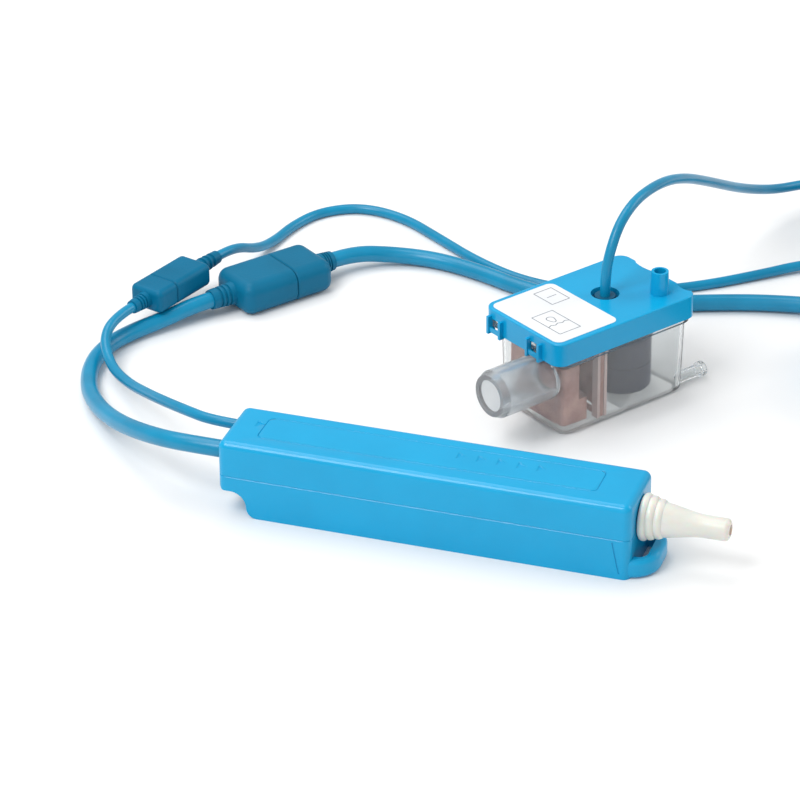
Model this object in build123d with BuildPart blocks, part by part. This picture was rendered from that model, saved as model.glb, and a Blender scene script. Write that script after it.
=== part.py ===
import os
from math import cos, degrees, pi, radians, sin, tan

from build123d import *

# An in-line condensate pump for an air conditioner, with its clear float reservoir and its leads.
# +X runs along the pump from its lead end to its discharge end, +Z is up, and the origin is the
# centre of the pump's flat underside. Millimetres.

# ---- pump case
case_length = 155.0
case_width = 29.8
case_height = 29.6
case_wall = 1.8
case_corner = 3.0  # plan radius of the upright corners
top_edge_radius = 2.8
foot_edge_radius = 0.8
parting_height = 15.8  # where cover and base meet
lip_height = 1.4  # the base's tongue inside the cover
lip_thickness = 0.8
lip_gap = 0.1
parting_chamfer = 0.25
step_height = 10.0  # underside of the overhang at the lead end
foot_radius = 4.0  # convex part of the ogee below the overhang
step_radius = 6.0  # concave part of it
overhang = 4.8
panel_length = 128.0  # engraved outline on the top
panel_width = 15.5
panel_corner = 2.5
panel_line = 0.5
panel_depth = 0.3
panel_shift = -1.2
panel_inset = 0.6
mark_length = 12.6  # slanted mark on the front near the discharge end
mark_width = 0.6
mark_slant = 12.0
mark_from_end = 5.2

# ---- tie loop at the discharge end
loop_reach = 8.6
loop_bar = 4.0
loop_height = 7.6
loop_corner = 11.0
loop_inner_corner = 3.6
loop_round = 2.1

# ---- pump mechanism, all on one axis
ceiling_gap = 0.5  # between the yoke and the cover's ceiling
board_gap = 3.4  # between the board and the yoke
running_clearance = 0.05
fit_gap = 0.1
piston_radius = 3.75
plunger_radius = 2.5
piston_bore = 1.3
stroke = 3.0
guide_wall = 0.7
guide_start = -30.0
guide_end = 22.0
piston_start = -17.0
piston_shoulder = 9.0
plunger_end = 27.0
inlet_radius = 6.0
inlet_start = -38.0
inlet_end = -26.0
nipple_radius = 2.2
nipple_length = 5.2
nipple_bore = 1.2
cylinder_radius = 7.0
cylinder_nose = 2.0
cylinder_end = 46.0
seal_thickness = 1.5
seal_radius = 5.2
chamber_end = 31.5
port_radius = 1.2
port_length = 2.5
valve_chamber_radius = 4.0
spigot_radius = 3.5
spigot_bore = 1.75
spigot_flange = 2.0
spigot_pilot = 2.0
spigot_reach = 14.0  # past the end of the case
spigot_clearance = 0.3

valve_head_radius = 3.0
valve_head = 1.2
valve_stem_radius = 0.9
valve_stem = 2.0
outlet_lift = 1.2
check_recess_radius = 2.0
check_recess = 3.4
check_head_radius = 1.7
check_head = 0.7
check_stem_radius = 0.8
check_stem = 3.0
check_lift = 0.8
retainer_thickness = 0.7
retainer_bore = 1.0

spring_gap = 0.1
main_wire = 0.7
main_turns = 6
buffer_turns = 5
outlet_wire = 0.5
outlet_turns = 5
check_wire = 0.25
check_turns = 4

bobbin_start = -18.2
bobbin_end = 12.2
flange_gap = 0.7  # from the coil's flange to the yoke's open side
bobbin_core = 5.3
bobbin_flange_thickness = 1.2
winding_gap = 0.3
yoke_plate = 1.5
yoke_side = 1.2
yoke_half_width = 9.7

mount_ceiling_gap = 0.4
mount_width = 6.0
rear_mount_x = -33.0
front_mount_x = 31.0
saddle_width = 5.2
saddle_height = 16.0
cover_saddle_low = 20.0

# ---- circuit board
board_start = -28.0
board_end = 24.0
board_half_width = 10.0
board_thickness = 1.6
post_height = 2.7
post_radius = 2.0
post_inset = 3.0
screw_radius = 0.9
screw_head_radius = 1.7
screw_head = 1.1
capacitor_length = 7.0
capacitor_width = 14.0
capacitor_height = 4.6
relay_length = 10.0
relay_width = 8.0
relay_height = 2.6

# ---- water inlet under the overhang
inlet_spigot_z = 5.6
barb_radius = 3.0
barb_ridge = 3.3
barb_bore = 1.8
barb_length = 8.4
spigot_inner = 5.0
spigot_collar = 0.6
spigot_collar_length = 1.2
spigot_inner_radius = 2.2
hose_wall = 0.9
hose_low_end = -53.5
hose_high_start = -48.0

# ---- discharge adaptor
adaptor_gap = 0.3
adaptor_length = 32.2
adaptor_rib_near = 8.7  # crest radii
adaptor_rib_middle = 8.0
adaptor_rib_far = 7.3
adaptor_groove_near = 7.7
adaptor_groove_far = 7.0
adaptor_rib_width = 2.8
adaptor_shoulder = 0.9
adaptor_neck_radius = 6.4
adaptor_neck_run = 7.4
adaptor_waist_radius = 5.1
adaptor_tip_radius = 4.15
adaptor_tip_length = 8.6
adaptor_tip_round = 1.7
adaptor_bore = 2.2

# ---- reservoir, on its own frame turned about +Z
reservoir_x = 26.36
reservoir_y = 111.4
reservoir_yaw = 56.5
lid_length = 68.9
lid_width = 44.2
lid_top = 41.6
lid_plate = 2.4
lid_skirt_bottom = 32.4
lid_wall = 1.6
lid_corner = 4.6
lid_edge_radius = 1.2
tank_inset_near = 4.1  # of the tank's walls from the lid's: drain end, far end, front, back
tank_inset_far = 1.8
tank_inset_front = 1.8
tank_inset_back = 2.6
tank_draft = 0.8
tank_wall = 1.6
tank_floor = 2.2
tank_corner = 5.0
tank_floor_radius = 3.0
lid_seal_thickness = 1.2
rim_reach = 1.3
rim_thickness = 1.3
rim_drop = 0.3

spigot_y = -8.0
spigot_z = 22.4
spigot_outer_radius = 9.4
spigot_inner_bore = 6.3
spigot_length = 25.5
spigot_lip_radius = 8.2
spigot_lip_length = 2.6

outlet_y = -15.0
outlet_z = 3.3
outlet_radius = 2.3
outlet_collar = 3.0
outlet_bore = 1.3
outlet_length = 12.0

window_centres = (14.3, -8.4)
window_width = 5.6
window_low = 34.4
window_high = 37.6
window_rib = 1.2
window_rib_proud = 1.1
window_rib_low = 31.6
window_rib_high = 38.8
bridge_wall = 0.6
catch_width = 4.8
catch_recess = 0.25  # of the nib behind the lid's face
catch_share = 0.8  # of the window's height

vent_x = 23.7
vent_y = -12.1
vent_radius = 3.7
vent_top_radius = 3.3
vent_height = 9.2
vent_bore = 2.3

lead_hole_x = 7.3
lead_hole_y = 0.4
lead_hole_radius = 5.5
lead_gland_radius = 4.0
lid_drop_rise = 9.0
lead_gland_height = 1.7

label_x = -18.0
label_length = 30.0
label_width = 39.6
label_corner = 3.0
label_thickness = 0.15

scallop_depth = 1.8
scallop_near_y = 8.0
scallop_near_width = 12.0
scallop_far_y = -14.6
scallop_far_width = 8.0

housing_length = 26.0
housing_width = 14.0
housing_low = 34.6

float_x = 13.3
float_y = -2.0
float_radius = 11.6
float_low = 3.0
float_height = 21.6
float_seam = 0.5
float_seam_depth = 0.4
stem_radius = 2.0
stem_clearance = 0.3
stem_top = 33.4
magnet_outer = 5.4
magnet_height = 4.0
float_travel = 8.0

filter_start = -26.4
filter_end = -14.2
filter_half_width = 15.6
filter_height = 24.0
filter_step = 12.0
filter_step_depth = 5.0
filter_step_width = 12.0
filter_lift = 0.3
baffle_x = -9.7
baffle_thickness = 1.6
baffle_top = 29.0
baffle_gap = 0.2
baffle_slot = 8.0
rib_thickness = 1.3
rib_reach = 3.0
rib_top = 30.0

# ---- leads
power_diameter = 6.6
signal_diameter = 4.0
bore_gap = 0.1
power_exit_in = 7.7  # from the case's side
power_exit_drop = 7.0  # from its top
signal_exit_in = 6.4
signal_exit_drop = 5.3
exit_run = 10.5
gland_wall = 0.7
gland_flange = 0.7
gland_grip = 0.3
gland_lip = 0.5
lead_inside = 4.0

power_route = [
    (-102.5, -3.4, 20.6),
    (-117.0, 6.4, 16.2),
    (-131.5, 19.7, 10.8),
    (-145.5, 35.7, 6.2),
    (-156.5, 52.5, 3.6),
    (-162.8, 71.0, 3.4),
    (-162.6, 87.5, 3.4),
    (-156.8, 100.6, 3.8),
    (-149.0, 111.0, 4.7),
]
signal_route = [
    (-102.0, 16.5, 22.2),
    (-115.5, 28.0, 17.8),
    (-128.0, 41.0, 12.4),
    (-140.5, 54.0, 7.6),
    (-152.5, 66.5, 6.2),
    (-160.6, 79.0, 10.6),
]
supply_route = [
    (-81.5, 193.5, 4.4),
    (-64.0, 196.5, 3.4),
    (-43.5, 191.5, 3.4),
    (-21.0, 182.0, 3.4),
    (3.0, 178.0, 3.4),
    (27.0, 183.5, 3.4),
    (50.0, 193.0, 3.4),
    (73.0, 200.0, 3.6),
    (98.0, 202.8, 4.3),
    (125.0, 202.1, 4.3),
]
supply_end_arc = [(159.2, 139.5, 12.0), (147.4, 137.9, 7.0), (136.4, 141.5, 3.9)]  # inside the coil
reservoir_route_near = [
    (-134.6, 180.5, 5.0),
    (-132.4, 195.0, 2.0),
    (-130.0, 210.5, 2.0),
    (-123.5, 226.0, 2.0),
    (-108.5, 235.5, 2.0),
    (-88.5, 231.5, 2.0),
    (-68.5, 217.5, 2.0),
    (-47.5, 202.5, 2.0),
    (-24.5, 191.5, 2.0),
    (0.0, 189.5, 2.0),
    (23.0, 196.5, 2.0),
    (45.0, 209.5, 2.0),
    (64.0, 225.0, 2.2),
    (80.0, 238.5, 3.0),
    (96.0, 245.6, 3.0),
]
reservoir_route_far = [
    (96.0, 299.0, 15.0),
    (81.0, 297.8, 14.0),
    (68.0, 290.0, 13.6),
    (59.0, 275.5, 16.5),
    (53.5, 258.5, 23.5),
    (50.0, 241.0, 32.0),
    (47.5, 223.0, 41.5),
    (45.2, 205.0, 51.0),
    (43.0, 187.0, 60.0),
    (40.5, 169.5, 67.0),
    (38.0, 152.5, 71.0),
    (35.2, 138.0, 71.5),
    (32.6, 127.0, 67.0),
    (31.0, 120.4, 58.5),
]
lead_last_run = 8.5
lead_first_run = 11.0
supply_coil_x = 145.0
supply_coil_y = 162.0
supply_coil_middle = 36.0  # radius at the middle of its turns
supply_layers = 3
reservoir_coil_x = 104.0
reservoir_coil_y = 272.0
reservoir_coil_middle = 22.0
reservoir_layers = 4
coil_columns = 2
coil_lift = 1.0  # the tie passes under a coil
tie_thickness = 0.8
tie_gap = 0.4
tie_width = 3.6
core_diameter = 1.7
core_length = 14.0
core_spread = 2.1

# ---- connectors
power_connector_angle = 53.9
power_connector_x = -135.3
power_connector_y = 128.7
power_connector_z = 7.0
power_half_width = 12.4
power_half_height = 6.9
power_body_corner = 5.0
power_end_round = 4.4
power_boot = 10.0
power_plug_length = 24.0
power_socket_length = 17.5
power_far_boot = 6.5
signal_connector_angle = 72.5
signal_connector_x = -157.4
signal_connector_y = 101.5
signal_connector_z = 13.8
signal_half_width = 7.8
signal_half_height = 4.9
signal_body_corner = 2.6
signal_end_round = 2.2
signal_boot = 8.0
signal_plug_length = 11.0
signal_socket_length = 21.0
signal_far_boot = 13.0
mating_gap = 0.3
mating_chamfer = 0.5
pin_radius = 0.8
pin_reach = 7.0
pin_pitch = 4.4
signal_pin_radius = 0.5
signal_pin_pitch = 2.6
boot_rings = 3
ring_depth = 0.7

# ---- what follows from those sizes
left_end = -case_length / 2
right_end = case_length / 2
half_width = case_width / 2
inner_half_width = half_width - case_wall
cavity_top = case_height - case_wall
step_x = left_end + overhang
foot_side = step_x + step_radius
foot_x = foot_side + foot_radius
guide_inner = piston_radius + running_clearance
guide_outer = guide_inner + guide_wall
cylinder_bore = plunger_radius + running_clearance
port_end = chamber_end + port_length
pilot_end = cylinder_end - spigot_pilot
spigot_end = right_end + spigot_reach
board_bottom = case_wall + post_height
board_top = board_bottom + board_thickness
yoke_bottom = board_top + board_gap
yoke_half_height = (cavity_top - ceiling_gap - yoke_bottom) / 2
pump_axis_z = yoke_bottom + yoke_half_height
bobbin_flange = yoke_half_height - flange_gap
winding_radius = bobbin_flange - winding_gap
mount_outer = cavity_top - pump_axis_z - mount_ceiling_gap
power_exit_y = power_exit_in - half_width
power_exit_z = case_height - power_exit_drop
signal_exit_y = half_width - signal_exit_in
signal_exit_z = case_height - signal_exit_drop
lid_bottom_face = lid_top - lid_plate
housing_top = lid_bottom_face
tank_top = lid_bottom_face - lid_seal_thickness
tank_near = tank_inset_near - lid_length / 2
tank_far = lid_length / 2 - tank_inset_far
tank_length = tank_far - tank_near
tank_width = lid_width - tank_inset_front - tank_inset_back
tank_middle = (tank_inset_front - tank_inset_back) / 2
floor_length = tank_length - 2 * tank_draft
floor_width = tank_width - 2 * tank_draft
stem_bore = stem_radius + stem_clearance

pump_axis = Axis((0, 0, pump_axis_z), (1, 0, 0))
pump_section = Plane((0, 0, pump_axis_z), x_dir=(1, 0, 0), z_dir=(0, -1, 0))
yaw = radians(reservoir_yaw)
reservoir = Plane((reservoir_x, reservoir_y, 0), x_dir=(cos(yaw), sin(yaw), 0), z_dir=(0, 0, 1))
tank_centre = reservoir.from_local_coords(((tank_near + tank_far) / 2, tank_middle, 0))
tank_frame = Plane(tank_centre, x_dir=reservoir.x_dir, z_dir=(0, 0, 1))


def finish(builder, name, length=None, area=None):
    """Labels a finished sub-part and writes it; a lead's volume is compared with its section."""
    builder.part.label = name
    export_step(builder.part, f"parts/{name}.step")
    if length:
        print(f"{name}: volume {builder.part.volume:.0f}, length x section {length * area:.0f}")


def upright(frame, x, y, z):
    """A level plane at a point of a frame."""
    return Plane(frame.from_local_coords((x, y, z)), x_dir=frame.x_dir, z_dir=(0, 0, 1))


def tank_form(low, inset):
    """The tank's drafted block from a height up to its top, inset by a wall or by nothing."""
    with BuildPart() as form:
        with BuildSketch(tank_frame.offset(low)):
            RectangleRounded(floor_length - 2 * inset, floor_width - 2 * inset, tank_corner - inset)
        with BuildSketch(tank_frame.offset(tank_top)):
            RectangleRounded(tank_length - 2 * inset, tank_width - 2 * inset, tank_corner - inset)
        loft()
    return form.part


def facing(frame, x, y, z, sign=1):
    """A plane that faces along a frame's +x or -x, with its own x along the frame's y."""
    return Plane(frame.from_local_coords((x, y, z)), x_dir=frame.y_dir * sign, z_dir=frame.x_dir * sign)


def turned(points, plane=pump_section):
    """A closed half section, as (along the axis, radius) points."""
    with BuildSketch(plane) as section:
        with BuildLine():
            Polyline(*points, close=True)
        make_face()
    return section.sketch


def ring_section(start, end, inner, outer):
    return turned([(start, inner), (end, inner), (end, outer), (start, outer)])


def lead(route, diameter, name):
    """A lead's tube: straight runs joined by arcs as large as the two runs at each point allow."""
    points = [Vector(*p) for p in route]
    runs = [b - a for a, b in zip(points, points[1:])]
    bends = []
    for first, second in zip(runs, runs[1:]):
        turn = radians(first.get_angle(second))
        bends.append(0.45 * min(first.length, second.length) / tan(turn / 2))
    print(f"{name} bend radii in diameters:", [round(r / diameter, 1) for r in bends])
    with BuildPart() as tube:
        with BuildLine() as path:
            FilletPolyline(*points, radius=bends)
        with BuildSketch(Plane(path.line @ 0, z_dir=path.line % 0)):
            Circle(diameter / 2)
        sweep()
    finish(tube, name, sum(edge.length for edge in path.edges()), pi * diameter**2 / 4)


def coil(x, y, middle, diameter, layers, name):
    """The outer shape of a put-away coil of lead, lying flat."""
    width = coil_columns * diameter
    height = layers * diameter
    with BuildPart() as ring:
        with BuildSketch(Plane((x, y, 0), x_dir=(1, 0, 0), z_dir=(0, -1, 0))):
            with Locations((middle, coil_lift + height / 2)):
                RectangleRounded(width, height, diameter * 0.45)
        revolve(axis=Axis((x, y, 0), (0, 0, 1)))
    finish(ring, name)


def coil_tie(x, y, middle, diameter, layers, name, angle):
    """A band round one side of a coil."""
    width = coil_columns * diameter + tie_gap + 2 * tie_thickness
    height = layers * diameter + tie_gap + 2 * tie_thickness
    a = radians(angle)
    middle_plane = Plane(
        (x + middle * cos(a), y + middle * sin(a), coil_lift + layers * diameter / 2),
        x_dir=(cos(a), sin(a), 0),
        z_dir=(sin(a), -cos(a), 0),
    )
    with BuildPart() as band:
        with BuildSketch(middle_plane):
            RectangleRounded(width, height, diameter * 0.45 + tie_thickness)
            RectangleRounded(
                width - 2 * tie_thickness,
                height - 2 * tie_thickness,
                diameter * 0.45,
                mode=Mode.SUBTRACT,
            )
        extrude(amount=tie_width / 2, both=True)
    finish(band, name)


def spring(start, end, mean_radius, wire, turns, name):
    """A helical compression spring on the pump's axis."""
    length = end - start - 2 * spring_gap - wire
    first = start + spring_gap + wire / 2
    with BuildPart() as wound:
        with BuildLine() as path:
            Helix(length / turns, length, mean_radius, (first, 0, pump_axis_z), (1, 0, 0))
        with BuildSketch(Plane(path.line @ 0, z_dir=path.line % 0)):
            Circle(wire / 2)
        sweep(is_frenet=True)
    finish(wound, name)


def gland(y, z, diameter, name):
    """A rubber grommet in the case's lead end."""
    bore = (diameter + bore_gap) / 2
    neck = diameter / 2 + gland_wall
    inside = left_end + case_wall
    section = [
        (left_end - gland_lip, bore),
        (inside + gland_flange, bore),
        (inside + gland_flange, neck + gland_grip),
        (inside, neck + gland_grip),
        (inside, neck),
        (left_end, neck),
        (left_end, neck + gland_lip / 2),
        (left_end - gland_lip, neck),
    ]
    plane = Plane((0, y, z), x_dir=(1, 0, 0), z_dir=(0, -1, 0))
    with BuildPart() as grommet:
        revolve(turned(section, plane), axis=Axis((0, y, z), (1, 0, 0)))
    finish(grommet, name)


def connector_half(frame, mate, way, length, boot, size, lead_diameter, pins, name):
    """One moulded half of a connector: body, rounded end and ribbed boot, from the mating face."""
    half_w, half_h, corner, end_round = size
    face = facing(frame, mate + way * mating_gap / 2, 0, 0, way)
    with BuildPart() as half:
        with BuildSketch(face):
            RectangleRounded(2 * half_w, 2 * half_h, corner)
        extrude(amount=length)
        ends = half.faces().filter_by(Plane(face.origin, z_dir=face.z_dir)).sort_by(
            lambda f: (f.center() - face.origin).dot(face.z_dir)
        )
        fillet(ends[-1].edges(), end_round)
        ends = half.faces().filter_by(Plane(face.origin, z_dir=face.z_dir)).sort_by(
            lambda f: (f.center() - face.origin).dot(face.z_dir)
        )
        chamfer(ends[0].edges(), mating_chamfer)
        boot_plane = Plane(
            face.origin + face.z_dir * (length - end_round / 2), x_dir=face.z_dir, z_dir=(0, 0, 1)
        )
        wide = lead_diameter / 2 + 1.5
        narrow = lead_diameter / 2 + 0.7
        total = boot + end_round / 2
        pitch = (boot - 2.0) / (boot_rings + 1)
        outline = [(0, 0), (0, wide)]
        for k in range(boot_rings):
            at = end_round / 2 + 1.5 + pitch * (k + 0.5)
            r = wide + (narrow - wide) * at / total
            outline += [
                (at - pitch * 0.3, r),
                (at - pitch * 0.2, r - ring_depth),
                (at + pitch * 0.2, r - ring_depth),
                (at + pitch * 0.3, r),
            ]
        outline += [(total, narrow), (total, 0)]
        revolve(turned(outline, boot_plane), axis=Axis(boot_plane.origin, boot_plane.x_dir))
        with BuildSketch(face):
            with Locations(*pins["places"]):
                Circle(pins["radius"] + max(way, 0) * running_clearance)
        extrude(amount=pin_reach, mode=Mode.SUBTRACT)
    finish(half, name)


def connector_pins(frame, mate, pins, name):
    """The contact pins that cross a connector's mating face."""
    with BuildPart() as contacts:
        with BuildSketch(facing(frame, mate - mating_gap / 2 - pin_reach, 0, 0)):
            with Locations(*pins["places"]):
                Circle(pins["radius"])
        extrude(amount=2 * pin_reach + mating_gap - fit_gap)
    finish(contacts, name)


os.makedirs("parts", exist_ok=True)

# ---- base shell: stepped lead end, cavity, lip, saddles, board posts and tie loop
with BuildPart() as base_shell:
    with BuildSketch(Plane.XZ):
        with BuildLine():
            foot = Line((right_end, 0), (foot_x, 0))
            convex = RadiusArc(foot @ 1, (foot_side, foot_radius), foot_radius)
            concave = RadiusArc(convex @ 1, (step_x, step_height), -step_radius)
            Polyline(
                concave @ 1,
                (left_end + case_corner / 2, step_height),
                (left_end, step_height + case_corner / 2),
                (left_end, parting_height),
                (right_end, parting_height),
                foot @ 0,
            )
        make_face()
    extrude(amount=half_width, both=True)
    fillet(base_shell.edges().filter_by(Axis.Z).group_by(Axis.X)[-1], case_corner)
    fillet(base_shell.edges().filter_by(Axis.Z).group_by(Axis.X)[0], case_corner)
    chamfer(base_shell.faces().sort_by(Axis.Z)[-1].edges(), parting_chamfer)
    with BuildSketch(Plane.XY) as loop_outline:
        with Locations((right_end + loop_reach / 2 - case_corner, 0)):
            Rectangle(loop_reach + 2 * case_corner, 2 * half_width - 2 * foot_edge_radius)
        fillet(loop_outline.vertices().group_by(Axis.X)[-1], loop_corner)
    extrude(amount=loop_height)
    fillet(base_shell.edges().group_by(Axis.X)[-1], loop_round)
    with BuildSketch(Plane.XY) as loop_slot:
        with Locations((right_end + (loop_reach - loop_bar) / 2, 0)):
            Rectangle(loop_reach - loop_bar, case_width - 2 * loop_bar - 2 * foot_edge_radius)
        fillet(loop_slot.vertices().group_by(Axis.X)[-1], loop_inner_corner)
    extrude(amount=loop_height, mode=Mode.SUBTRACT)
    with BuildSketch(Plane.XY.offset(case_wall)) as main_cavity:
        with Locations(((foot_side + right_end) / 2, 0)):
            RectangleRounded(
                right_end - foot_side - 2 * case_wall, 2 * inner_half_width, case_corner - case_wall
            )
    extrude(amount=parting_height, mode=Mode.SUBTRACT)
    with BuildSketch(Plane.XY.offset(step_height + case_wall)):
        with Locations((0, 0)):
            RectangleRounded(
                case_length - 2 * case_wall, 2 * inner_half_width, case_corner - case_wall
            )
    extrude(amount=parting_height, mode=Mode.SUBTRACT)
    lip_outer_length = case_length - 2 * (case_wall - lip_thickness)
    lip_outer_width = case_width - 2 * (case_wall - lip_thickness)
    with BuildSketch(Plane.XY.offset(parting_height)):
        RectangleRounded(lip_outer_length, lip_outer_width, case_corner - case_wall + lip_thickness)
        RectangleRounded(
            case_length - 2 * case_wall,
            2 * inner_half_width,
            case_corner - case_wall,
            mode=Mode.SUBTRACT,
        )
    extrude(amount=lip_height)
    with BuildSketch(Plane.XY.offset(case_wall / 2)):
        with Locations((rear_mount_x, 0), (front_mount_x, 0)):
            Rectangle(saddle_width, case_width - case_wall)
    extrude(amount=saddle_height - case_wall / 2)
    with BuildSketch(Plane.XY.offset(case_wall / 2)):
        middle = (board_start + board_end) / 2
        span = board_end - board_start - 2 * post_inset
        with Locations((middle, 0)):
            with GridLocations(span, 2 * (board_half_width - post_inset), 2, 2):
                Circle(post_radius)
    extrude(amount=board_bottom - case_wall / 2)
    with BuildSketch(Plane.XY.offset(board_bottom)):
        with Locations(
            (board_start + post_inset, board_half_width - post_inset),
            (board_end - post_inset, post_inset - board_half_width),
        ):
            Circle(screw_radius)
    extrude(amount=-post_height + fit_gap, mode=Mode.SUBTRACT)
    with BuildSketch(Plane.YZ.offset(rear_mount_x - saddle_width)):
        with Locations((0, pump_axis_z)):
            Circle(mount_outer + running_clearance)
    extrude(amount=front_mount_x - rear_mount_x + 2 * saddle_width, mode=Mode.SUBTRACT)
    with BuildSketch(Plane.YZ.offset(right_end - 2 * case_wall)):
        with Locations((0, pump_axis_z)):
            Circle(spigot_radius + spigot_clearance)
    extrude(amount=3 * case_wall, mode=Mode.SUBTRACT)
    with BuildSketch(Plane.YZ.offset(step_x)):
        with Locations((0, inlet_spigot_z)):
            Circle(barb_radius + fit_gap)
    extrude(amount=foot_radius + step_radius + 2 * case_wall, mode=Mode.SUBTRACT)
    with BuildSketch(Plane.XZ.offset(half_width - panel_depth)):
        with Locations(Location((right_end - mark_from_end, parting_height - mark_length / 2 - 1.0), mark_slant)):
            Rectangle(mark_width, mark_length)
    extrude(amount=2 * panel_depth, mode=Mode.SUBTRACT)
finish(base_shell, "base_shell")

# ---- top cover
with BuildPart() as top_cover:
    with BuildSketch(Plane.XY.offset(parting_height)):
        RectangleRounded(case_length, case_width, case_corner)
    extrude(amount=case_height - parting_height)
    fillet(top_cover.faces().sort_by(Axis.Z)[-1].edges(), top_edge_radius)
    chamfer(top_cover.faces().sort_by(Axis.Z)[0].edges(), parting_chamfer)
    with BuildSketch(Plane.XY.offset(parting_height)):
        RectangleRounded(case_length - 2 * case_wall, 2 * inner_half_width, case_corner - case_wall)
    extrude(amount=cavity_top - parting_height, mode=Mode.SUBTRACT)
    with BuildSketch(Plane.XY.offset(parting_height)):
        RectangleRounded(
            lip_outer_length + 2 * lip_gap, lip_outer_width + 2 * lip_gap, case_corner - case_wall + lip_thickness
        )
    extrude(amount=lip_height + lip_gap, mode=Mode.SUBTRACT)
    with BuildSketch(Plane.XY.offset(cover_saddle_low)):
        with Locations((rear_mount_x, 0), (front_mount_x, 0)):
            Rectangle(saddle_width, case_width - case_wall)
    extrude(amount=case_height - case_wall / 2 - cover_saddle_low)
    with BuildSketch(Plane.YZ.offset(rear_mount_x - saddle_width)):
        with Locations((0, pump_axis_z)):
            Circle(mount_outer + running_clearance)
    extrude(amount=front_mount_x - rear_mount_x + 2 * saddle_width, mode=Mode.SUBTRACT)
    with BuildSketch(Plane.YZ.offset(left_end - case_wall)):
        with Locations((power_exit_y, power_exit_z)):
            Circle(power_diameter / 2 + gland_wall)
        with Locations((signal_exit_y, signal_exit_z)):
            Circle(signal_diameter / 2 + gland_wall)
    extrude(amount=3 * case_wall, mode=Mode.SUBTRACT)
    with BuildSketch(Plane.YZ.offset(right_end - 2 * case_wall)):
        with Locations((0, pump_axis_z)):
            Circle(spigot_radius + spigot_clearance)
    extrude(amount=3 * case_wall, mode=Mode.SUBTRACT)
    with BuildSketch(Plane.XY.offset(case_height - panel_depth)):
        with Locations((panel_shift, panel_inset)):
            RectangleRounded(panel_length, panel_width, panel_corner)
            RectangleRounded(
                panel_length - 2 * panel_line,
                panel_width - 2 * panel_line,
                panel_corner - panel_line,
                mode=Mode.SUBTRACT,
            )
    extrude(amount=2 * panel_depth, mode=Mode.SUBTRACT)
finish(top_cover, "top_cover")

# ---- pump mechanism
nipple_start = inlet_start - nipple_length
with BuildPart() as inlet_housing:
    revolve(
        turned(
            [
                (nipple_start, nipple_bore),
                (nipple_start, nipple_radius),
                (inlet_start, nipple_radius),
                (inlet_start, inlet_radius),
                (inlet_end, inlet_radius),
                (inlet_end, guide_outer + fit_gap),
                (guide_start, guide_outer + fit_gap),
                (guide_start, nipple_bore),
            ]
        ),
        axis=pump_axis,
    )
finish(inlet_housing, "inlet_housing")

with BuildPart() as guide_tube:
    revolve(ring_section(guide_start, guide_end, guide_inner, guide_outer), axis=pump_axis)
finish(guide_tube, "guide_tube")

recess_start = plunger_end - check_recess
with BuildPart() as piston:
    revolve(
        turned(
            [
                (piston_start, piston_bore),
                (piston_start, piston_radius),
                (piston_shoulder, piston_radius),
                (piston_shoulder, plunger_radius),
                (plunger_end, plunger_radius),
                (plunger_end, check_recess_radius),
                (recess_start, check_recess_radius),
                (recess_start, piston_bore),
            ]
        ),
        axis=pump_axis,
    )
finish(piston, "piston")

with BuildPart() as inlet_valve:
    revolve(
        turned(
            [
                (recess_start - check_stem, 0),
                (recess_start - check_stem, check_stem_radius),
                (recess_start, check_stem_radius),
                (recess_start, check_head_radius),
                (recess_start + check_head, check_head_radius),
                (recess_start + check_head, 0),
            ]
        ),
        axis=pump_axis,
    )
finish(inlet_valve, "inlet_valve")

retainer_start = plunger_end - retainer_thickness
with BuildPart() as valve_retainer:
    revolve(
        ring_section(retainer_start, plunger_end, retainer_bore, check_recess_radius),
        axis=pump_axis,
    )
finish(valve_retainer, "valve_retainer")

cylinder_start = guide_end - cylinder_nose
cylinder_face = guide_end + seal_thickness
with BuildPart() as pump_cylinder:
    revolve(
        turned(
            [
                (cylinder_start, cylinder_bore),
                (cylinder_start, guide_inner - fit_gap),
                (cylinder_face, guide_inner - fit_gap),
                (cylinder_face, cylinder_radius),
                (cylinder_end, cylinder_radius),
                (cylinder_end, valve_chamber_radius),
                (port_end, valve_chamber_radius),
                (port_end, port_radius),
                (chamber_end, port_radius),
                (chamber_end, cylinder_bore),
            ]
        ),
        axis=pump_axis,
    )
finish(pump_cylinder, "pump_cylinder")

with BuildPart() as cylinder_seal:
    revolve(ring_section(guide_end, cylinder_face, guide_inner, seal_radius), axis=pump_axis)
finish(cylinder_seal, "cylinder_seal")

with BuildPart() as outlet_valve:
    revolve(
        turned(
            [
                (port_end, 0),
                (port_end, valve_head_radius),
                (port_end + valve_head, valve_head_radius),
                (port_end + valve_head, valve_stem_radius),
                (port_end + valve_head + valve_stem, valve_stem_radius),
                (port_end + valve_head + valve_stem, 0),
            ]
        ),
        axis=pump_axis,
    )
finish(outlet_valve, "outlet_valve")

with BuildPart() as outlet_spigot:
    revolve(
        turned(
            [
                (pilot_end, spigot_bore),
                (pilot_end, valve_chamber_radius - fit_gap),
                (cylinder_end, valve_chamber_radius - fit_gap),
                (cylinder_end, cylinder_radius),
                (cylinder_end + spigot_flange, cylinder_radius),
                (cylinder_end + spigot_flange, spigot_radius),
                (spigot_end, spigot_radius),
                (spigot_end, spigot_bore),
            ]
        ),
        axis=pump_axis,
    )
finish(outlet_spigot, "outlet_spigot")

main_mean = guide_inner - fit_gap - main_wire / 2
spring(piston_shoulder, cylinder_start, main_mean, main_wire, main_turns, "main_spring")
spring(guide_start, piston_start, main_mean, main_wire, buffer_turns, "buffer_spring")
outlet_mean = valve_head_radius - outlet_wire
spring(port_end + valve_head, pilot_end, outlet_mean, outlet_wire, outlet_turns, "outlet_valve_spring")
check_mean = check_head_radius - check_wire
spring(recess_start + check_head, retainer_start, check_mean, check_wire, check_turns, "inlet_valve_spring")

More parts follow.
